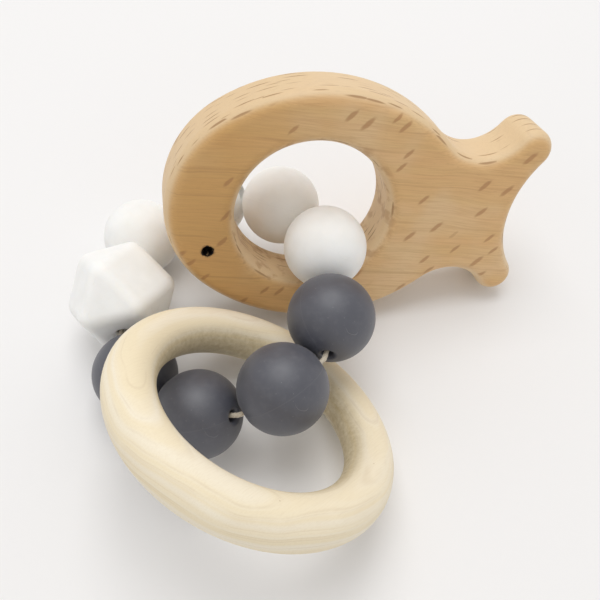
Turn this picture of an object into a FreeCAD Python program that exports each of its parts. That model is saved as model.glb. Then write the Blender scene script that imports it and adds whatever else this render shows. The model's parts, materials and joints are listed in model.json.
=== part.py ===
# Teething ring: a wooden fish and a wooden ring held on a closed loop of nine silicone beads.
# Millimetres, +Z up. The toy lies as it is put down on a table (Z = 0): the fish stands on its
# belly and tail, leaning back, and the ring leans from the table onto the grey beads.
import FreeCAD
import Part
import Sketcher
import math
import os
from FreeCAD import Placement, Rotation, Vector

SIZES = {
    # silicone beads
    "bead_diameter": 15.0,
    "bore_diameter": 2.0,
    "mouth_radius": 0.6,       # rounding where a bore meets the bead's surface
    "faceted_width": 16.0,     # across two opposite square facets
    "faceted_rounding": 2.7,   # rounding of the edges between facets
    # cord and its knot
    "cord_diameter": 0.9,
    "cord_margin": 0.3,        # from where the cord turns to the end of the bore
    "knot_diameter": 3.2,
    "knot_width": 2.4,         # along the cord
    "recess_diameter": 3.8,    # widened end of one bore, which hides the knot
    "recess_depth": 4.6,
    # wooden ring
    "ring_diameter": 49.2,
    "ring_section": 8.1,
    # wooden fish
    "fish_thickness": 11.1,
    "fish_rounding": 2.4,      # rounding of the outline's and the hole's edges
    "hole_diameter": 27.6,
    "eye_diameter": 2.0,
    "head_radius": 20.2,
    "shoulder_radius": 32.0,
    "neck_radius": 8.4,
    "upper_lobe_radius": 3.65,
    "lower_lobe_radius": 3.5,
    "tail_radius": 18.8,
}

# Bead centres in their order round the loop, from the bead left of the fish's nose. The strand
# runs behind the head, forwards through the fish's hole, over the ring's far side, down into
# the ring and out under its near side.
STRAND = [
    ("white_bead_1", (-32.2, 25.75, 7.5)),
    ("white_bead_2", (-18.8, 32.0, 11.4)),
    ("white_bead_3", (-4.3, 28.0, 15.2)),
    ("white_bead_4", (3.95, 14.95, 18.75)),
    ("grey_bead_1", (4.7, -0.05, 18.6)),
    ("grey_bead_2", (-3.3, -12.8, 17.3)),
    ("grey_bead_3", (-17.3, -14.5, 10.9)),
    ("grey_bead_4", (-29.5, -5.4, 7.5)),
    ("faceted_bead", (-33.6, 9.56, 10.2)),
]
KNOT_BEAD = "white_bead_2"          # its bore's end towards the next bead holds the knot
FIXED_BORES = {                     # bores whose direction doesn't follow from the cord alone
    "faceted_bead": (-0.16, 0.98, 0.05),
    "white_bead_4": (0.12, -0.99, 0.0),
}
FACETED_TURN = 40.2                 # its turn about that bore, degrees

RING_CENTRE = (-7.7, -16.65)        # on the table; its height follows from its tilt
RING_TILT = 35.0                    # degrees out of the horizontal
RING_AZIMUTH = 43.3                 # side of the ring that touches the table, from +X

FISH_CENTRE = (0.7, 21.9, 22.77)    # middle of the big hole
FISH_YAW = 10.9                     # degrees about Z
FISH_LEAN = 18.7                    # degrees back from upright
FISH_TILT = -12.0                   # tail below nose, degrees in the fish's own plane

# The fish's outline in its own plane, from the middle of its hole: X to the tail, Y to the back.
HEAD_CENTRE = (-5.7, 0.3)
SHOULDER_START = 127.3              # degrees round the head at which a shoulder takes over
UPPER_LOBE = (38.0, 15.35)
LOWER_LOBE = (39.75, -11.1)
EYE = (-17.95, -7.7)

doc = FreeCAD.newDocument("teething_ring")


def make_sheet():
    """Put the driving dimensions in a spreadsheet with one alias per cell."""
    sheet = doc.addObject("Spreadsheet::Sheet", "Sizes")
    for row, (alias, value) in enumerate(SIZES.items(), start=1):
        sheet.set(f"A{row}", alias)
        sheet.set(f"B{row}", str(value))
        sheet.setAlias(f"B{row}", alias)
    doc.recompute()
    return sheet


sheet = make_sheet()


def size(alias):
    """Read a driving dimension from the sheet."""
    return float(sheet.get(alias))


# ---------------------------------------------------------------- PartDesign helpers

def new_body(label):
    body = doc.addObject("PartDesign::Body", label)
    body.Label = label
    return body


def new_sketch(body, role, name):
    """A sketch on one of the body's own origin planes."""
    sketch = body.newObject("Sketcher::SketchObject", name)
    plane = [f for f in body.Origin.OriginFeatures if f.Role == role][0]
    sketch.AttachmentSupport = [(plane, "")]
    sketch.MapMode = "FlatFace"
    return sketch


def add_circle(sketch, centre, expression, radius):
    """A circle whose radius is bound to the sheet."""
    circle = sketch.addGeometry(Part.Circle(Vector(*centre, 0), Vector(0, 0, 1), radius))
    if centre == (0, 0):
        sketch.addConstraint(Sketcher.Constraint("Coincident", circle, 3, -1, 1))
    else:
        sketch.addConstraint(Sketcher.Constraint("DistanceX", -1, 1, circle, 3, centre[0]))
        sketch.addConstraint(Sketcher.Constraint("DistanceY", -1, 1, circle, 3, centre[1]))
    bound = sketch.addConstraint(Sketcher.Constraint("Radius", circle, radius))
    sketch.setExpression(f"Constraints[{bound}]", expression)


def cut_through(body, sketch, name):
    """Pocket the sketch through the whole body, and check that it removes material."""
    before = body.Shape.Volume
    pocket = body.newObject("PartDesign::Pocket", name)
    pocket.Profile = sketch
    pocket.Type = "ThroughAll"
    pocket.Midplane = True
    doc.recompute()
    assert body.Shape.Volume < before, f"{name} cuts nothing"
    return pocket


def round_edges(body, name, wanted, expression):
    """Fillet the edges of the body's tip that wanted(edge) picks out."""
    base = body.Tip
    picked = [f"Edge{i}" for i, edge in enumerate(base.Shape.Edges, start=1) if wanted(edge)]
    fillet = body.newObject("PartDesign::Fillet", name)
    fillet.Base = (base, picked)
    fillet.setExpression("Radius", expression)
    doc.recompute()
    return fillet


def is_circle(edge, radius):
    return isinstance(edge.Curve, Part.Circle) and abs(edge.Curve.Radius - radius) < 1e-4


# ---------------------------------------------------------------- beads

def half_bore(name):
    """Half the length of a bead's bore, between its two mouths."""
    return size("faceted_width" if name == "faceted_bead" else "bead_diameter") / 2


def strand_directions():
    """Each bore's direction: the taut cord turns a bead until its bore lies along the line
    between the nearest mouths of its two neighbours."""
    names = list(CENTRES)
    directions = {}
    for i, name in enumerate(names):
        directions[name] = (CENTRES[names[(i + 1) % len(names)]] - CENTRES[names[i - 1]]).normalize()
    for name, direction in FIXED_BORES.items():
        directions[name] = Vector(*direction).normalize()
    for _ in range(20):
        for i, name in enumerate(names):
            if name in FIXED_BORES:
                continue
            before = names[i - 1]
            after = names[(i + 1) % len(names)]
            arriving = CENTRES[before] + directions[before] * half_bore(before)
            leaving = CENTRES[after] - directions[after] * half_bore(after)
            directions[name] = (leaving - arriving).normalize()
    return directions


CENTRES = {name: Vector(*centre) for name, centre in STRAND}
DIRECTIONS = strand_directions()


def on_strand(name, turn=0.0):
    """Placement of a bead made about its own origin with its bore along Z."""
    along = Rotation(Vector(0, 0, 1), DIRECTIONS[name])
    return Placement(CENTRES[name], along * Rotation(Vector(0, 0, 1), turn))


def round_bead(name):
    body = new_body(name)
    radius = size("bead_diameter") / 2
    profile = new_sketch(body, "XZ_Plane", f"{name}_profile")
    arc = profile.addGeometry(Part.Arc(Vector(0, -radius, 0), Vector(radius, 0, 0), Vector(0, radius, 0)))
    axis = profile.addGeometry(Part.LineSegment(Vector(0, radius, 0), Vector(0, -radius, 0)))
    profile.addConstraint(Sketcher.Constraint("Coincident", arc, 3, -1, 1))
    profile.addConstraint(Sketcher.Constraint("Coincident", arc, 1, axis, 2))
    profile.addConstraint(Sketcher.Constraint("Coincident", arc, 2, axis, 1))
    profile.addConstraint(Sketcher.Constraint("PointOnObject", arc, 1, -2))
    profile.addConstraint(Sketcher.Constraint("PointOnObject", arc, 2, -2))
    bound = profile.addConstraint(Sketcher.Constraint("Radius", arc, radius))
    profile.setExpression(f"Constraints[{bound}]", "Sizes.bead_diameter / 2")
    ball = body.newObject("PartDesign::Revolution", f"{name}_ball")
    ball.Profile = profile
    ball.ReferenceAxis = (profile, ["V_Axis"])
    doc.recompute()
    bore = new_sketch(body, "XY_Plane", f"{name}_bore_circle")
    add_circle(bore, (0, 0), "Sizes.bore_diameter / 2", size("bore_diameter") / 2)
    cut_through(body, bore, f"{name}_bore")
    bore_radius = size("bore_diameter") / 2
    round_edges(body, f"{name}_mouths", lambda edge: is_circle(edge, bore_radius), "Sizes.mouth_radius")
    if name == KNOT_BEAD:
        cut_recess(body)
    body.Placement = on_strand(name)
    return body


def cut_recess(body):
    """Widen the end of the bore, so that the cord's knot sits inside the bead."""
    before = body.Shape.Volume
    circle = new_sketch(body, "XY_Plane", "recess_circle")
    add_circle(circle, (0, 0), "Sizes.recess_diameter / 2", size("recess_diameter") / 2)
    circle.setExpression("AttachmentOffset.Base.z", "Sizes.bead_diameter / 2 - Sizes.recess_depth")
    recess = body.newObject("PartDesign::Pocket", "knot_recess")
    recess.Profile = circle
    recess.Reversed = True
    recess.setExpression("Length", "Sizes.recess_depth")
    doc.recompute()
    assert body.Shape.Volume < before, "the recess cuts nothing"


def cuboctahedron(width):
    """A cube of this width with each corner cut off through the middles of its three edges."""
    half = width / 2
    shape = Part.makeBox(width, width, width, Vector(-half, -half, -half))
    for sx in (-1, 1):
        for sy in (-1, 1):
            for sz in (-1, 1):
                corner = Vector(sx, sy, sz) * half
                reach = [corner - Vector(sx * half, 0, 0), corner - Vector(0, sy * half, 0),
                         corner - Vector(0, 0, sz * half)]
                sides = [reach, [corner, reach[0], reach[1]], [corner, reach[1], reach[2]],
                         [corner, reach[2], reach[0]]]
                faces = [Part.Face(Part.makePolygon(side + side[:1])) for side in sides]
                shape = shape.cut(Part.Solid(Part.Shell(faces)))
    return shape.removeSplitter()


def faceted_bead(name):
    """Rounded edges come from growing a smaller body of the same form by the rounding."""
    rounding = size("faceted_rounding")
    core = cuboctahedron(size("faceted_width") - 2 * rounding)
    body = core.makeOffsetShape(rounding, 0.001, join=0, fill=False)
    length = size("faceted_width") + 2
    bore = Part.makeCylinder(size("bore_diameter") / 2, length, Vector(0, 0, -length / 2))
    drilled = Part.Solid(body).cut(bore) if body.ShapeType != "Solid" else body.cut(bore)
    mouths = [edge for edge in drilled.Edges if is_circle(edge, size("bore_diameter") / 2)]
    bead = doc.addObject("Part::Feature", name)
    bead.Label = name
    bead.Shape = drilled.makeFillet(size("mouth_radius"), mouths)
    bead.Placement = on_strand(name, FACETED_TURN)
    return bead


# ---------------------------------------------------------------- cord and knot

def cord_points():
    """Where the cord turns: just inside both mouths of every bead, from knot to knot."""
    names = [name for name, _ in STRAND]
    start = names.index(KNOT_BEAD)
    order = names[start:] + names[:start] + [KNOT_BEAD]
    points = [knot_centre() + DIRECTIONS[KNOT_BEAD] * (size("knot_width") / 2)]
    for i, name in enumerate(order):
        bend = half_bore(name) - size("cord_margin")
        if i > 0:
            points.append(CENTRES[name] - DIRECTIONS[name] * bend)
        if i < len(order) - 1:
            points.append(CENTRES[name] + DIRECTIONS[name] * bend)
    points.append(knot_centre() - DIRECTIONS[KNOT_BEAD] * (size("knot_width") / 2))
    return points


def knot_centre():
    """The knot sits at the inner end of its recess."""
    inner_end = size("bead_diameter") / 2 - size("recess_depth")
    return CENTRES[KNOT_BEAD] + DIRECTIONS[KNOT_BEAD] * (inner_end + size("knot_diameter") / 2)


def rounded_path(points):
    """Straight runs joined by tangent arcs, each as large as its two runs allow."""
    edges = []
    here = points[0]
    radii = []
    for before, corner, after in zip(points, points[1:], points[2:]):
        arriving = (corner - before).normalize()
        leaving = (after - corner).normalize()
        half_turn = arriving.getAngle(leaving) / 2
        reach = 0.45 * min((corner - before).Length, (after - corner).Length)
        radii.append(reach / math.tan(half_turn))
        first = corner - arriving * reach
        last = corner + leaving * reach
        inward = (leaving - arriving).normalize()
        middle = corner + inward * (radii[-1] / math.cos(half_turn) - radii[-1])
        edges.append(Part.LineSegment(here, first).toShape())
        edges.append(Part.Arc(first, middle, last).toShape())
        here = last
    edges.append(Part.LineSegment(here, points[-1]).toShape())
    print("cord bend radii:", ", ".join(f"{r:.1f}" for r in radii))
    return Part.Wire(edges)


def make_cord(name):
    path = rounded_path(cord_points())
    radius = size("cord_diameter") / 2
    section = Part.Wire(Part.Circle(path.Edges[0].valueAt(path.Edges[0].FirstParameter),
                                    DIRECTIONS[KNOT_BEAD], radius).toShape())
    cord = doc.addObject("Part::Feature", name)
    cord.Label = name
    cord.Shape = path.makePipeShell([section], True, False)
    expected = math.pi * radius ** 2 * path.Length
    print(f"cord: length {path.Length:.1f}, volume {cord.Shape.Volume:.2f}, expected {expected:.2f}")
    assert abs(cord.Shape.Volume / expected - 1) < 0.01
    return cord


def make_knot(name):
    """A ball with two flats, which the cord's two ends meet."""
    ball = Part.makeSphere(size("knot_diameter") / 2)
    width = size("knot_width")
    slab = Part.makeCylinder(size("knot_diameter"), width, Vector(0, 0, -width / 2))
    knot = doc.addObject("Part::Feature", name)
    knot.Label = name
    knot.Shape = ball.common(slab)
    knot.Placement = Placement(knot_centre(), Rotation(Vector(0, 0, 1), DIRECTIONS[KNOT_BEAD]))
    return knot


# ---------------------------------------------------------------- wooden ring

def wooden_ring(name):
    ring = doc.addObject("Part::Torus", name)
    ring.Label = name
    ring.setExpression("Radius1", "(Sizes.ring_diameter - Sizes.ring_section) / 2")
    ring.setExpression("Radius2", "Sizes.ring_section / 2")
    core_radius = (size("ring_diameter") - size("ring_section")) / 2
    tilt = math.radians(RING_TILT)
    azimuth = math.radians(RING_AZIMUTH)
    normal = Vector(math.sin(tilt) * math.cos(azimuth), math.sin(tilt) * math.sin(azimuth), math.cos(tilt))
    height = core_radius * math.sin(tilt) + size("ring_section") / 2
    ring.Placement = Placement(Vector(*RING_CENTRE, height), Rotation(Vector(0, 0, 1), normal))
    return ring


# ---------------------------------------------------------------- wooden fish

def outer_tangent_centre(first, first_radius, second, second_radius, radius, side):
    """Centre of a circle that touches two circles from outside, left (1) or right (-1) of the
    way from the first to the second."""
    way = second - first
    a = first_radius + radius
    b = second_radius + radius
    along = (a * a - b * b + way.Length ** 2) / (2 * way.Length)
    across = math.sqrt(a * a - along * along)
    ahead = Vector(way).normalize()
    left = Vector(-ahead.y, ahead.x, 0)
    return first + ahead * along + left * (across * side)


def touching(centre, radius, other):
    """Point of a circle on the line to another tangent circle's centre."""
    return centre + (other - centre).normalize() * radius


def arc_about(centre, radius, start, end, counterclockwise):
    """The arc about a centre from start to end, in the given sense."""
    a = math.atan2(start.y - centre.y, start.x - centre.x)
    b = math.atan2(end.y - centre.y, end.x - centre.x)
    if counterclockwise and b < a:
        b += 2 * math.pi
    if not counterclockwise and b > a:
        b -= 2 * math.pi
    middle = centre + Vector(math.cos((a + b) / 2), math.sin((a + b) / 2), 0) * radius
    return Part.Arc(start, middle, end)


def fish_outline():
    """Eight tangent arcs: head, two shoulders, two necks, two tail lobes and the tail's notch."""
    head = Vector(*HEAD_CENTRE, 0)
    upper = Vector(*UPPER_LOBE, 0)
    lower = Vector(*LOWER_LOBE, 0)
    start = math.radians(SHOULDER_START)
    offset = size("shoulder_radius") - size("head_radius")
    back = head - Vector(math.cos(start), math.sin(start), 0) * offset
    belly = head - Vector(math.cos(start), -math.sin(start), 0) * offset
    shoulder = size("shoulder_radius")
    neck = size("neck_radius")
    tail = size("tail_radius")
    upper_radius = size("upper_lobe_radius")
    lower_radius = size("lower_lobe_radius")
    upper_neck = outer_tangent_centre(back, shoulder, upper, upper_radius, neck, 1)
    lower_neck = outer_tangent_centre(belly, shoulder, lower, lower_radius, neck, -1)
    notch = outer_tangent_centre(upper, upper_radius, lower, lower_radius, tail, 1)
    head_top = touching(head, size("head_radius"), head + (head - back))
    head_bottom = touching(head, size("head_radius"), head + (head - belly))
    back_end = touching(back, shoulder, upper_neck)
    belly_end = touching(belly, shoulder, lower_neck)
    upper_start = touching(upper, upper_radius, upper_neck)
    upper_end = touching(upper, upper_radius, notch)
    lower_start = touching(lower, lower_radius, lower_neck)
    lower_end = touching(lower, lower_radius, notch)
    return [
        arc_about(head, size("head_radius"), head_top, head_bottom, True),
        arc_about(belly, shoulder, head_bottom, belly_end, True),
        arc_about(lower_neck, neck, belly_end, lower_start, False),
        arc_about(lower, lower_radius, lower_start, lower_end, True),
        arc_about(notch, tail, lower_end, upper_end, False),
        arc_about(upper, upper_radius, upper_end, upper_start, True),
        arc_about(upper_neck, neck, upper_start, back_end, False),
        arc_about(back, shoulder, back_end, head_top, True),
    ]


def lies_on_a_face(edge):
    """Whether an edge of the fish's plate lies on its front or its back."""
    half = size("fish_thickness") / 2
    return all(abs(abs(vertex.Z) - half) < 1e-4 for vertex in edge.Vertexes)


def fish(name):
    body = new_body(name)
    outline = new_sketch(body, "XY_Plane", "fish_outline")
    outline.addGeometry(fish_outline())
    plate = body.newObject("PartDesign::Pad", "fish_plate")
    plate.Profile = outline
    plate.Midplane = True
    plate.setExpression("Length", "Sizes.fish_thickness")
    doc.recompute()
    big_hole = new_sketch(body, "XY_Plane", "big_hole_circle")
    add_circle(big_hole, (0, 0), "Sizes.hole_diameter / 2", size("hole_diameter") / 2)
    cut_through(body, big_hole, "big_hole")
    round_edges(body, "fish_rounding", lies_on_a_face, "Sizes.fish_rounding")
    eye = new_sketch(body, "XY_Plane", "eye_circle")
    add_circle(eye, EYE, "Sizes.eye_diameter / 2", size("eye_diameter") / 2)
    cut_through(body, eye, "eye")
    turned = Rotation(Vector(0, 0, 1), FISH_TILT)
    stood = Rotation(Vector(1, 0, 0), 90 - FISH_LEAN)
    faced = Rotation(Vector(0, 0, 1), FISH_YAW)
    body.Placement = Placement(Vector(*FISH_CENTRE), faced * stood * turned)
    return body


# ---------------------------------------------------------------- build, check, write

def build():
    pieces = [fish("fish_teether"), wooden_ring("wooden_ring")]
    for name, _ in STRAND:
        pieces.append(faceted_bead(name) if name == "faceted_bead" else round_bead(name))
    pieces.append(make_cord("cord"))
    pieces.append(make_knot("cord_knot"))
    doc.recompute()
    return pieces


def check(pieces):
    for item in doc.Objects:
        assert "Invalid" not in item.State and "Error" not in item.State, item.Label
    for piece in pieces:
        assert not piece.Shape.isNull() and piece.Shape.isValid(), piece.Label
        assert len(piece.Shape.Solids) == 1, f"{piece.Label}: {len(piece.Shape.Solids)} solids"


def write(pieces):
    os.makedirs("parts", exist_ok=True)
    for piece in pieces:
        piece.Shape.exportStep(f"parts/{piece.Label}.step")


pieces = build()
check(pieces)
write(pieces)
whole = Part.makeCompound([piece.Shape for piece in pieces]).BoundBox
print(f"{len(pieces)} pieces, X {whole.XMin:.2f} to {whole.XMax:.2f}, "
      f"Y {whole.YMin:.2f} to {whole.YMax:.2f}, Z {whole.ZMin:.2f} to {whole.ZMax:.2f}")
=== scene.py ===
"""Looks of the teething ring: a beech fish and a pale wooden ring on a loop of silicone beads.

Lengths are in millimetres, except for the room's, which are in metres and say so."""
import json
import math

import bmesh
import bpy
from mathutils import Matrix, Quaternion, Vector


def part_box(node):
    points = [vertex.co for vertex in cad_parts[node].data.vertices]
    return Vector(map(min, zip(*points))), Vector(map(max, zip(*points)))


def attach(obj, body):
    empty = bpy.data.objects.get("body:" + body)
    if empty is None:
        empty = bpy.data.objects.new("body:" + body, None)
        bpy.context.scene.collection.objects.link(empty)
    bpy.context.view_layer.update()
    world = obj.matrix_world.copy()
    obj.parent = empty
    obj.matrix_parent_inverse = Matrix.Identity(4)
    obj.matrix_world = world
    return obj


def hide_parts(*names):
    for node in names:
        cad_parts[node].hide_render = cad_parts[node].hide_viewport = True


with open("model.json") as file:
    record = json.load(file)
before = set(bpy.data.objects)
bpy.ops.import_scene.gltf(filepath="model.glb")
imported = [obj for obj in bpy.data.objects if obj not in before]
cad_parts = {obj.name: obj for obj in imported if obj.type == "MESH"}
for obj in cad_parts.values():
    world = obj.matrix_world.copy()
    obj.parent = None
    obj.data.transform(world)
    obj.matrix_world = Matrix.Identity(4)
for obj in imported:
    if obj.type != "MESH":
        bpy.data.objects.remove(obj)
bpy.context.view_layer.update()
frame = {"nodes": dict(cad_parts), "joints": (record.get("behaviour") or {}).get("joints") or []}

MM = 0.001                 # one millimetre in Blender's metres
JOINTS = {joint["child"]: joint for joint in frame["joints"]}

# The beads, in their order round the loop.
WHITE_BEADS = [f"white_bead_{i}" for i in (1, 2, 3, 4)]
GREY_BEADS = [f"grey_bead_{i}" for i in (1, 2, 3, 4)]
FACETED_BEAD = "faceted_bead"
LOOP = WHITE_BEADS + GREY_BEADS + [FACETED_BEAD]
KNOT_BEAD = "white_bead_2"

# Sizes and angles of the CAD model.
BEAD_WIDTH = 15.0
FACETED_WIDTH = 16.0
CORD_RADIUS = 0.45
CORD_MARGIN = 0.3          # from where the cord turns to the end of the bore
FISH_YAW = 10.9            # degrees
FISH_LEAN = 18.7           # degrees
FISH_TILT = -12.0          # degrees
FISH_EYE = (-17.95, -7.7)  # from the middle of the fish's hole, along the fish and up it
EYE_RADIUS = 1.0
HOLE_RADIUS = 13.8

# The cord's and the knot's own detail.
CORD_STRANDS = 3
CORD_TWIST = 2.3           # length of one whole turn of the strands
CORD_GROOVE = 0.20         # depth of the grooves between strands, as a part of the radius
CORD_STEPS = 14            # points to each rounded corner
CORD_SIDES = 24
KNOT_STEPS = 96
KNOT_SIDES = 16
KNOT_RADIUS = 0.52         # of the strand that the knot is tied with
KNOT_SCALE = 0.33          # from a trefoil that reaches 3 from its middle

# Materials: their colours, and what lies on them.
WHITE_SILICONE = {
    "tint": (0.955, 0.95, 0.92),
    "dust": (0.84, 0.83, 0.80),
    "translucency": 0.35,
    "gloss": 0.30,
}
GREY_SILICONE = {
    "tint": (0.064, 0.067, 0.087),
    "dust": (0.30, 0.30, 0.32),
    "translucency": 0.03,
    "gloss": 1.0,
}

BEECH = (0.735, 0.477, 0.212)
# pale patches of the beech, and the painted highlight on its rounded edges
BEECH_PALE_AND_EDGE_HIGHLIGHT = (0.825, 0.665, 0.445)
BEECH_ROSY = (0.75, 0.463, 0.213)
# painted shade, darker and more saturated, towards the fish's head
BEECH_HEAD_SHADE = (0.625, 0.345, 0.10)
BEECH_FLECK = (0.43, 0.215, 0.09)
BEECH_PORE = (0.33, 0.165, 0.065)
BURNT = (0.010, 0.007, 0.006)
SCORCHED = (0.16, 0.075, 0.03)

# Beech rays show as slanting flecks on the fish's face, and as thin dashes on its rounded edges.
# Each has its spacing and its largest half size along its own axes, and how often it is there.
FLECK_SLANT = 49           # degrees from the fish's length
FACE_FLECKS = {"spacing": (6.2, 3.3), "reach": (1.55, 0.47), "share": 0.55}
EDGE_DASHES = {"spacing": (4.4, 3.4, 1.3), "reach": (2.3, 1.7, 0.17), "share": 0.85}

PALE = (0.92, 0.84, 0.685)
PALE_WARM = (0.89, 0.775, 0.555)
PALE_LINE = (0.60, 0.455, 0.27)
# painted shade on the inner side of the ring
PALE_INNER_SHADE = (0.47, 0.36, 0.17)

COTTON = (0.74, 0.67, 0.55)
COTTON_SHADED = (0.50, 0.42, 0.31)

# The room and the camera.
BOARD = (0.90, 0.892, 0.889)
BOARD_SHADED = (0.86, 0.852, 0.849)
BOARD_REACH = 3.0          # metres from the board's middle to each edge
BOARD_SQUARES = 8
ROOM_TINT = (1.0, 0.99, 0.98)
ROOM_STRENGTH = 0.66
SOFTBOX_AT = (-0.05, 0.30, 1.0)  # metres
SOFTBOX_SIZE = 0.70        # metres
SOFTBOX_POWER = 4.9        # watts

CAMERA_AT = (-2.94, -62.6, 117.8)
CAMERA_LOOKS_AT = (-0.47, 6.69, 13.79)
CAMERA_ROLL = 2.46         # degrees
CAMERA_LENS = 41.58
CAMERA_SENSOR = 36.0
CAMERA_NEAR = 0.005        # metres


# ---------------------------------------------------------------- shader nodes

class Shader:
    """A material's node tree, with short calls for the nodes that this scene uses.

    Where a call takes a value, it may be a number, a tuple or another call's result."""

    def __init__(self, name):
        self.material = bpy.data.materials.new(name)
        self.material.use_nodes = True
        self.nodes = self.material.node_tree.nodes
        self.links = self.material.node_tree.links
        self.surface = self.nodes["Principled BSDF"]

    def feed(self, socket, value):
        """Link another node's socket to this input, or set the input; None leaves it alone."""
        if isinstance(value, bpy.types.NodeSocket):
            self.links.new(value, socket)
        elif value is not None:
            socket.default_value = value

    def set(self, name, value):
        """Give one of the surface's inputs a value."""
        self.feed(self.surface.inputs[name], value)

    def math(self, operation, first, second=None, third=None):
        node = self.nodes.new("ShaderNodeMath")
        node.operation = operation
        for socket, value in zip(node.inputs, (first, second, third)):
            self.feed(socket, value)
        return node.outputs[0]

    def vector(self, operation, first, second=None, scale=None):
        node = self.nodes.new("ShaderNodeVectorMath")
        node.operation = operation
        self.feed(node.inputs[0], first)
        self.feed(node.inputs[1], second)
        if scale is not None:
            self.feed(node.inputs["Scale"], scale)
        return node.outputs["Value" if operation in ("DOT_PRODUCT", "LENGTH") else "Vector"]

    def combine(self, x=0.0, y=0.0, z=0.0):
        node = self.nodes.new("ShaderNodeCombineXYZ")
        for socket, value in zip(node.inputs, (x, y, z)):
            self.feed(socket, value)
        return node.outputs[0]

    def stretched(self, coordinates, scales):
        """Coordinates scaled one by one: a texture is drawn out where its scale is small."""
        return self.combine(*[self.math("MULTIPLY", value, scale)
                              for value, scale in zip(coordinates, scales)])

    def coordinates(self, centre=(0, 0, 0)):
        """The piece's own coordinates in millimetres, from a centre that is in millimetres too."""
        own = self.nodes.new("ShaderNodeTexCoord").outputs["Object"]
        in_mm = self.vector("SCALE", own, scale=1 / MM)
        return self.vector("SUBTRACT", in_mm, tuple(centre))

    def normal(self):
        """The surface's direction in the piece's own coordinates."""
        return self.nodes.new("ShaderNodeTexCoord").outputs["Normal"]

    def along(self, position, axes):
        """A position's coordinates along these axes, one by one."""
        return [self.vector("DOT_PRODUCT", position, tuple(axis)) for axis in axes]

    def noise(self, position, scale=1.0, detail=2.0, roughness=0.5):
        node = self.nodes.new("ShaderNodeTexNoise")
        self.feed(node.inputs["Vector"], position)
        self.feed(node.inputs["Scale"], scale)
        self.feed(node.inputs["Detail"], detail)
        self.feed(node.inputs["Roughness"], roughness)
        return node.outputs["Fac"]

    def cells(self, position, scale=1.0, randomness=1.0, feature="F1", dimensions="3D"):
        """A Voronoi texture's outputs."""
        node = self.nodes.new("ShaderNodeTexVoronoi")
        node.feature = feature
        node.voronoi_dimensions = dimensions
        self.feed(node.inputs["Vector"], position)
        self.feed(node.inputs["Scale"], scale)
        self.feed(node.inputs["Randomness"], randomness)
        return node.outputs

    def smooth(self, value, low, high):
        """0 below low and 1 above high, or the other way round if low is the larger."""
        node = self.nodes.new("ShaderNodeMapRange")
        node.interpolation_type = "SMOOTHSTEP"
        falling = low > high
        self.feed(node.inputs["Value"], value)
        self.feed(node.inputs["From Min"], min(low, high))
        self.feed(node.inputs["From Max"], max(low, high))
        self.feed(node.inputs["To Min"], 1.0 if falling else 0.0)
        self.feed(node.inputs["To Max"], 0.0 if falling else 1.0)
        return node.outputs["Result"]

    def remap(self, value, to_low, to_high, low=0.0, high=1.0):
        """The range from low to high spread over the range from to_low to to_high."""
        node = self.nodes.new("ShaderNodeMapRange")
        for socket, number in zip(node.inputs, (value, low, high, to_low, to_high)):
            self.feed(socket, number)
        return node.outputs["Result"]

    def mix(self, amount, first, second):
        node = self.nodes.new("ShaderNodeMix")
        node.data_type = "RGBA"
        self.feed(node.inputs["Factor"], amount)
        self.feed(node.inputs["A"], with_alpha(first))
        self.feed(node.inputs["B"], with_alpha(second))
        return node.outputs["Result"]

    def stain(self, base, tint, mask, amount):
        """Lay a tint over the base wherever the mask is 1, by this amount."""
        return self.mix(self.math("MULTIPLY", mask, amount), base, tint)

    def specks(self, position, scale, rarity, outer, inner):
        """Round specks, at most one to a cell, that fade out from the inner radius to the outer.

        The radii are in cells. A higher rarity leaves fewer specks; at 0.5 about half the
        cells have one."""
        cell = self.cells(position, scale)
        luck = self.vector("DOT_PRODUCT", cell["Color"], (0.34, 0.33, 0.33))
        chosen = self.math("GREATER_THAN", luck, rarity)
        return self.math("MULTIPLY", self.smooth(cell["Distance"], outer, inner), chosen)

    def bump(self, height, distance, under=None):
        """Bump from a height between 0 and 1, whose full step is the distance in millimetres."""
        node = self.nodes.new("ShaderNodeBump")
        self.feed(node.inputs["Height"], height)
        self.feed(node.inputs["Distance"], distance * MM)
        self.feed(node.inputs["Strength"], 1.0)
        self.feed(node.inputs["Normal"], under)
        return node.outputs["Normal"]


def with_alpha(colour):
    """An (r, g, b) tuple made opaque; a socket passes as it is."""
    if isinstance(colour, tuple):
        return (*colour, 1.0)
    return colour


def finish_with(piece, material):
    """Put one material on the whole of a piece."""
    piece.data.materials.clear()
    piece.data.materials.append(material)
    for face in piece.data.polygons:
        face.material_index = 0


def new_object(name, mesh):
    """Make a scene object from a bmesh, and free the bmesh."""
    data = bpy.data.meshes.new(name)
    mesh.to_mesh(data)
    mesh.free()
    made = bpy.data.objects.new(name, data)
    bpy.context.scene.collection.objects.link(made)
    return made


# ---------------------------------------------------------------- silicone beads

def lint(shader, position):
    """A few curled hairs: pieces of the lines along which a noise is at its middle level."""
    from_level = shader.math("SUBTRACT", shader.noise(position, 0.30, detail=0.0), 0.5)
    hair = shader.smooth(shader.math("ABSOLUTE", from_level), 0.006, 0.002)
    patch = shader.smooth(shader.noise(position, 0.21, detail=0.0), 0.62, 0.68)
    return shader.math("MULTIPLY", hair, patch)


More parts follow.
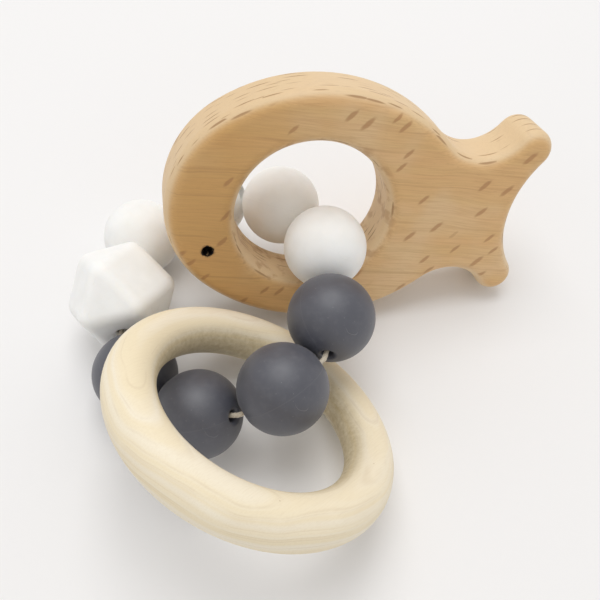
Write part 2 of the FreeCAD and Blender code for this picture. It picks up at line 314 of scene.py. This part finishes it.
def silicone(name, look, centre, bore):
    """Matte moulded silicone with a parting line, a fine skin, some dust and a few lint hairs."""
    shader = Shader(name)
    position = shader.coordinates(centre)
    patches = shader.noise(position, 0.22, detail=3.0)
    darker = tuple(0.95 * level for level in look["tint"])
    lighter = tuple(min(1.0, 1.05 * level) for level in look["tint"])
    base = shader.mix(shader.remap(patches, 0.0, 1.0, low=0.3, high=0.7), darker, lighter)

    side = tuple(bore.orthogonal().normalized())
    from_parting = shader.math("ABSOLUTE", shader.vector("DOT_PRODUCT", position, side))
    parting = shader.smooth(from_parting, 0.13, 0.03)
    hairs = lint(shader, position)
    specks = shader.specks(position, 1.1, rarity=0.50, outer=0.11, inner=0.04)
    bloom = shader.smooth(shader.noise(position, 0.9, detail=4.0, roughness=0.65), 0.45, 0.75)
    dust = 0.0
    for mask, amount in ((specks, 0.40), (hairs, 0.30), (bloom, 0.10), (parting, 0.07)):
        dust = shader.math("MAXIMUM", dust, shader.math("MULTIPLY", mask, amount))

    shader.set("Base Color", shader.mix(dust, base, look["dust"]))
    shader.set("Roughness", shader.remap(bloom, 0.50, 0.64))
    shader.set("Specular IOR Level", look["gloss"])
    shader.set("Sheen Weight", 0.12)
    shader.set("Sheen Roughness", 0.45)
    shader.set("Subsurface Weight", look["translucency"])
    shader.set("Subsurface Radius", (1.0, 0.9, 0.8))
    shader.set("Subsurface Scale", 1.2 * MM)

    skin = shader.bump(shader.noise(position, 7.0), 0.006)
    ridge = shader.bump(parting, 0.012, under=skin)
    shader.set("Normal", shader.bump(hairs, 0.02, under=ridge))
    return shader.material


def bead_axis(node):
    """A bead's centre and its bore's direction, from its joint."""
    joint = JOINTS[f"{node}_body"]
    return Vector(joint["pos_m"]) / MM, Vector(joint["axis"]).normalized()


def make_silicone():
    for node in LOOP:
        look = GREY_SILICONE if node in GREY_BEADS else WHITE_SILICONE
        finish_with(frame["nodes"][node], silicone(f"{node}_silicone", look, *bead_axis(node)))


# ---------------------------------------------------------------- beech fish

def fish_axes():
    """The fish's length, height and thickness directions in the row frame."""
    turn = (Matrix.Rotation(math.radians(FISH_YAW), 3, "Z")
            @ Matrix.Rotation(math.radians(90 - FISH_LEAN), 3, "X")
            @ Matrix.Rotation(math.radians(FISH_TILT), 3, "Z"))
    return [turn @ Vector(axis) for axis in ((1, 0, 0), (0, 1, 0), (0, 0, 1))]


def lenses(shader, distances, spacing, reach, share):
    """Thin lenses, at most one in each cell of a loose grid: 1 inside a lens and 0 outside.

    distances are a point's coordinates along the lens's axes, and share says how many of the
    cells have a lens."""
    scaled = shader.combine(*[shader.math("DIVIDE", value, gap) for value, gap in zip(distances, spacing)])
    cell = shader.cells(scaled, randomness=0.85, dimensions=f"{len(spacing)}D")
    ratios = [gap / size for gap, size in zip(spacing, reach)]
    ratios += [0.0] * (3 - len(spacing))
    away = shader.vector("SUBTRACT", scaled, cell["Position"])
    away = shader.vector("LENGTH", shader.vector("MULTIPLY", away, tuple(ratios)))
    luck = shader.vector("DOT_PRODUCT", cell["Color"], (0.4, 0.3, 0.3))
    size = shader.remap(luck, 0.45, 1.15, low=0.2, high=0.8)
    present = shader.smooth(luck, 0.78 - 0.56 * share, 0.82 - 0.56 * share)
    return shader.math("MULTIPLY", present, shader.smooth(shader.math("DIVIDE", away, size), 1.15, 0.55))


def face_flecks(shader, length, height):
    """Short slanting lenses, a little bent."""
    slant = math.radians(FLECK_SLANT)
    axes = ((math.cos(slant), math.sin(slant), 0), (-math.sin(slant), math.cos(slant), 0))
    bend = shader.math("MULTIPLY", shader.noise(shader.combine(length, height), 0.7), 0.5)
    distances = shader.along(shader.combine(length, shader.math("ADD", height, bend)), axes)
    return lenses(shader, distances, **FACE_FLECKS)


def beech_grain(shader, length, height, depth):
    """Growth layers, a few dark lines and fine fibres along the fish, painted shade towards its head, and
    the fibres' height.
    """
    wander = shader.noise(shader.stretched((length, height, depth), (0.028, 0.05, 0.05)))
    layer = shader.math("ADD", shader.math("MULTIPLY_ADD", depth, 0.22, height),
                        shader.math("MULTIPLY", wander, 5.0))
    bands = shader.noise(shader.stretched((length, layer), (0.012, 0.33)), detail=3.0, roughness=0.6)
    base = shader.mix(shader.smooth(bands, 0.30, 0.70), BEECH_ROSY, BEECH)
    patches = shader.noise(shader.combine(length, height, depth), 0.075)
    base = shader.stain(base, BEECH_PALE_AND_EDGE_HIGHLIGHT, shader.smooth(patches, 0.45, 0.75), amount=0.35)
    # Painted shade: the wood darkens and warms towards the fish's head.
    base = shader.stain(base, BEECH_HEAD_SHADE, shader.smooth(length, 6.0, -20.0), amount=0.55)

    from_line = shader.cells(shader.combine(0.0, layer), 0.27, feature="DISTANCE_TO_EDGE")["Distance"]
    broken = shader.noise(shader.stretched((length, layer), (0.05, 1.0)), 0.6)
    broken = shader.smooth(broken, 0.40, 0.62)
    lines = shader.math("MULTIPLY", shader.smooth(from_line, 0.055, 0.005), broken)
    base = shader.stain(base, BEECH_FLECK, lines, amount=0.30)

    fibres = shader.noise(shader.stretched((length, layer, depth), (0.16, 4.2, 4.2)),
                          detail=3.0, roughness=0.6)
    return shader.mix(shader.remap(fibres, 0.0, 0.30, low=0.42, high=0.72), base, BEECH_FLECK), fibres


def hole_blotches(shader, position, length, height):
    """Blotches in the wall of the fish's hole."""
    from_middle = shader.vector("LENGTH", shader.combine(length, height))
    in_hole = shader.smooth(from_middle, HOLE_RADIUS + 2.2, HOLE_RADIUS + 0.8)
    blotches = shader.smooth(shader.noise(position, 0.42, detail=3.0), 0.50, 0.64)
    return shader.math("MULTIPLY", in_hole, blotches)


def burn_eye(shader, base, position, length, height):
    """The fish's eye is burnt into the wood, with a ragged rim."""
    way = shader.combine(shader.math("SUBTRACT", length, FISH_EYE[0]),
                         shader.math("SUBTRACT", height, FISH_EYE[1]))
    ragged = shader.math("MULTIPLY_ADD", shader.noise(position, 1.9), 0.7, -0.35)
    from_eye = shader.math("ADD", shader.vector("LENGTH", way), ragged)
    halo = shader.smooth(from_eye, EYE_RADIUS + 0.45, EYE_RADIUS + 0.05)
    base = shader.stain(base, SCORCHED, halo, amount=0.6)
    return shader.mix(shader.smooth(from_eye, EYE_RADIUS + 0.16, EYE_RADIUS + 0.04), base, BURNT)


def beech(name, centre, axes):
    """Oiled beech with pores, rays, a blotched hole and the eye; a painted highlight makes its rounded
    edges paler.
    """
    shader = Shader(name)
    position = shader.coordinates(centre)
    length, height, depth = shader.along(position, axes)
    facing = shader.math("ABSOLUTE", shader.vector("DOT_PRODUCT", shader.normal(), tuple(axes[2])))
    on_face = shader.smooth(facing, 0.72, 0.92)
    off_face = shader.math("SUBTRACT", 1.0, on_face)

    pores = shader.noise(shader.stretched((length, height, depth), (0.9, 9.0, 9.0)), detail=1.0)
    pores = shader.smooth(pores, 0.66, 0.76)
    flecks = shader.math("MULTIPLY", face_flecks(shader, length, height), on_face)
    dashes = shader.math("MULTIPLY", lenses(shader, (length, height, depth), **EDGE_DASHES), off_face)

    base, fibres = beech_grain(shader, length, height, depth)
    # Painted highlight: the rounded edges are laid paler than the flat faces.
    base = shader.stain(base, BEECH_PALE_AND_EDGE_HIGHLIGHT, shader.smooth(facing, 0.97, 0.60), amount=0.60)
    base = shader.stain(base, BEECH_PORE, pores, amount=0.16)
    base = shader.stain(base, BEECH_FLECK, hole_blotches(shader, position, length, height), amount=0.42)
    base = shader.stain(base, BEECH_FLECK, flecks, amount=0.68)
    base = shader.stain(base, BEECH_PORE, dashes, amount=0.72)

    shader.set("Base Color", burn_eye(shader, base, position, length, height))
    shader.set("Roughness", shader.remap(fibres, 0.46, 0.60))
    shader.set("Specular IOR Level", 0.38)
    grain = shader.bump(fibres, 0.03)
    cut = shader.math("MAXIMUM", shader.math("MULTIPLY", pores, 0.5), shader.math("ADD", flecks, dashes))
    shader.set("Normal", shader.bump(shader.math("SUBTRACT", 1.0, cut), 0.03, under=grain))
    return shader.material


# ---------------------------------------------------------------- pale ring

def towards_axis(shader, position, axis, up):
    """1 where the ring's surface faces its axis, and -1 where it faces away."""
    above = shader.vector("SCALE", tuple(axis), scale=up)
    outward = shader.vector("NORMALIZE", shader.vector("SUBTRACT", position, above))
    return shader.math("MULTIPLY", shader.vector("DOT_PRODUCT", shader.normal(), outward), -1.0)


def pale_wood(name, centre, axis):
    """A ring turned from a flat board, so that its layers show as nested loops on top, with painted shade
    on the side that faces its axis.
    """
    shader = Shader(name)
    position = shader.coordinates(centre)
    grain = axis.orthogonal().normalized()
    length, across, up = shader.along(position, (grain, axis.cross(grain), axis))

    wander = shader.noise(shader.stretched((length, across, up), (0.03, 0.06, 0.06)))
    layer = shader.math("ADD", shader.math("MULTIPLY_ADD", across, 0.10, up),
                        shader.math("MULTIPLY", wander, 4.0))
    bands = shader.noise(shader.combine(0.0, layer, shader.math("MULTIPLY", length, 0.01)), 0.75,
                         detail=3.0, roughness=0.55)
    base = shader.mix(shader.smooth(bands, 0.35, 0.68), PALE_WARM, PALE)
    from_line = shader.cells(shader.combine(0.0, layer), 0.95, feature="DISTANCE_TO_EDGE")["Distance"]
    broken = shader.smooth(shader.noise(position, 0.10), 0.42, 0.60)
    lines = shader.math("MULTIPLY", shader.smooth(from_line, 0.09, 0.0), broken)
    base = shader.stain(base, PALE_LINE, lines, amount=0.22)

    fibres = shader.noise(shader.stretched((length, across, up), (0.25, 5.0, 5.0)),
                          detail=3.0, roughness=0.6)
    base = shader.mix(shader.remap(fibres, 0.0, 0.12, low=0.45, high=0.72), base, PALE_LINE)
    specks = shader.specks(position, 0.42, rarity=0.66, outer=0.075, inner=0.035)
    base = shader.stain(base, PALE_LINE, specks, amount=0.55)

    # Painted shade: the side facing the ring's axis is darkened, in olive mottles.
    inside = shader.smooth(towards_axis(shader, position, axis, up), 0.45, 1.0)
    mottle = shader.noise(position, 1.3, detail=3.0, roughness=0.6)
    inner_shade = shader.math("MULTIPLY", inside, shader.remap(mottle, 0.40, 0.75, low=0.3, high=0.7))
    shader.set("Base Color", shader.mix(inner_shade, base, PALE_INNER_SHADE))
    shader.set("Roughness", shader.remap(fibres, 0.50, 0.64))
    shader.set("Specular IOR Level", 0.32)
    shader.set("Normal", shader.bump(fibres, 0.02))
    return shader.material


def make_wood():
    """Both woods start from their joints, in the middle of the fish's hole and of the ring."""
    fish_middle = Vector(JOINTS["fish"]["pos_m"]) / MM
    finish_with(frame["nodes"]["fish_teether"], beech("oiled_beech", fish_middle, fish_axes()))
    ring_middle = Vector(JOINTS["ring"]["pos_m"]) / MM
    ring_axis = Vector(JOINTS["ring"]["axis"]).normalized()
    finish_with(frame["nodes"]["wooden_ring"], pale_wood("sanded_pale_wood", ring_middle, ring_axis))


# ---------------------------------------------------------------- cord and knot

def cord_corners():
    """Where the cord turns: just inside both mouths of every bead, from the knot round to it."""
    start = LOOP.index(KNOT_BEAD)
    order = LOOP[start:] + LOOP[:start] + [KNOT_BEAD]
    corners = []
    for i, node in enumerate(order):
        centre, bore = bead_axis(node)
        width = FACETED_WIDTH if node == FACETED_BEAD else BEAD_WIDTH
        reach = width / 2 - CORD_MARGIN
        if i > 0:
            corners.append(centre - bore * reach)
        if i < len(order) - 1:
            corners.append(centre + bore * reach)
    return corners


def smooth_line(corners, steps):
    """Points of a line that touches the middle of each run and rounds the corner after it."""
    points = []
    middles = [(first + second) / 2 for first, second in zip(corners, corners[1:])]
    for first, corner, last in zip(middles, corners[1:], middles[1:]):
        for i in range(steps):
            t = i / steps
            points.append(first * (1 - t) ** 2 + corner * 2 * t * (1 - t) + last * t ** 2)
    return points + [middles[-1]]


def trefoil(steps, scale):
    """Points of a trefoil knot about the origin, flattened along Z."""
    points = []
    for i in range(steps + 1):
        t = 2 * math.pi * i / steps
        x = math.sin(t) + 2 * math.sin(2 * t)
        y = math.cos(t) - 2 * math.cos(2 * t)
        z = -math.sin(3 * t) * 1.2
        points.append(Vector((x, y, z)) * scale)
    return points


def tube(name, points, radius_at, sides):
    """A tube along the points, whose radius comes from radius_at(angle, length walked)."""
    mesh = bmesh.new()
    rings = []
    side = (points[1] - points[0]).orthogonal().normalized()
    walked = 0.0
    for i, point in enumerate(points):
        ahead = (points[min(i + 1, len(points) - 1)] - points[max(i - 1, 0)]).normalized()
        side = (side - ahead * side.dot(ahead)).normalized()
        up = ahead.cross(side)
        walked += (point - points[i - 1]).length if i else 0.0
        ring = []
        for k in range(sides):
            angle = 2 * math.pi * k / sides
            outward = side * math.cos(angle) + up * math.sin(angle)
            ring.append(mesh.verts.new((point + outward * radius_at(angle, walked)) * MM))
        rings.append(ring)
    for first, second in zip(rings, rings[1:]):
        for k in range(sides):
            following = (k + 1) % sides
            mesh.faces.new((first[k], first[following], second[following], second[k]))
    mesh.faces.new(list(reversed(rings[0])))
    mesh.faces.new(rings[-1])
    piece = new_object(name, mesh)
    piece.data.shade_smooth()
    return piece


def twisted(angle, walked):
    """The cord's outline: as many lobes as it has strands, turning along its length."""
    turned = angle - 2 * math.pi * walked / CORD_TWIST
    lobe = abs(math.cos(CORD_STRANDS * turned / 2))
    return CORD_RADIUS * (1 - CORD_GROOVE + CORD_GROOVE * lobe)


def waxed_cotton():
    shader = Shader("waxed_cotton_cord")
    fuzz = shader.noise(shader.coordinates(), 6.0, detail=3.0, roughness=0.65)
    shader.set("Base Color", shader.mix(shader.smooth(fuzz, 0.3, 0.7), COTTON_SHADED, COTTON))
    shader.set("Roughness", 0.62)
    shader.set("Sheen Weight", 0.25)
    shader.set("Normal", shader.bump(fuzz, 0.05))
    return shader.material


def make_cord():
    """A twisted cord and a tied knot take the places of the CAD model's plain ones."""
    material = waxed_cotton()
    cord = tube("twisted_cord", smooth_line(cord_corners(), CORD_STEPS), twisted, CORD_SIDES)
    knot_middle = sum(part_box("cord_knot"), Vector()) / 2 / MM
    _, bore = bead_axis(KNOT_BEAD)
    turn = bore.to_track_quat("Z", "Y")
    loops = [knot_middle + turn @ point for point in trefoil(KNOT_STEPS, KNOT_SCALE)]
    knot = tube("tied_knot", loops, lambda angle, walked: KNOT_RADIUS, KNOT_SIDES)
    for piece, node in ((cord, "cord"), (knot, "cord_knot")):
        piece.data.materials.append(material)
        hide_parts(node)
        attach(piece, "strand")


# ---------------------------------------------------------------- floor, light and camera

def make_floor():
    shader = Shader("white_board")
    position = shader.coordinates()
    shader.set("Base Color", shader.mix(shader.noise(position, 0.006), BOARD_SHADED, BOARD))
    shader.set("Roughness", 0.75)
    shader.set("Normal", shader.bump(shader.noise(position, 1.5, detail=3.0), 0.01))
    mesh = bmesh.new()
    bmesh.ops.create_grid(mesh, x_segments=BOARD_SQUARES, y_segments=BOARD_SQUARES, size=BOARD_REACH)
    floor = new_object("table", mesh)
    floor.data.materials.append(shader.material)


def aim(holder, at, target, roll=0.0):
    """Put a light or a camera at a place, turned to its target."""
    towards = (Vector(target) - Vector(at)).to_track_quat("-Z", "Y")
    holder.location = at
    holder.rotation_mode = "QUATERNION"
    holder.rotation_quaternion = towards @ Quaternion((0, 0, 1), math.radians(roll))
    bpy.context.scene.collection.objects.link(holder)


def make_light():
    """An evenly lit room, and one softbox above the toy and a little behind it."""
    world = bpy.data.worlds.new("soft_room")
    world.use_nodes = True
    room = world.node_tree.nodes["Background"]
    room.inputs["Color"].default_value = with_alpha(ROOM_TINT)
    room.inputs["Strength"].default_value = ROOM_STRENGTH
    bpy.context.scene.world = world
    softbox = bpy.data.lights.new("softbox", "AREA")
    softbox.shape = "SQUARE"
    softbox.size = SOFTBOX_SIZE
    softbox.energy = SOFTBOX_POWER
    aim(bpy.data.objects.new("softbox", softbox), SOFTBOX_AT, (0, 0, 0))
    bpy.context.scene.view_settings.view_transform = "Standard"


def make_camera():
    camera = bpy.data.cameras.new("camera")
    camera.lens = CAMERA_LENS
    camera.sensor_width = CAMERA_SENSOR
    camera.clip_start = CAMERA_NEAR
    holder = bpy.data.objects.new("camera", camera)
    aim(holder, Vector(CAMERA_AT) * MM, Vector(CAMERA_LOOKS_AT) * MM, CAMERA_ROLL)
    bpy.context.scene.camera = holder


make_camera()
make_cord()
make_silicone()
make_wood()
make_floor()
make_light()
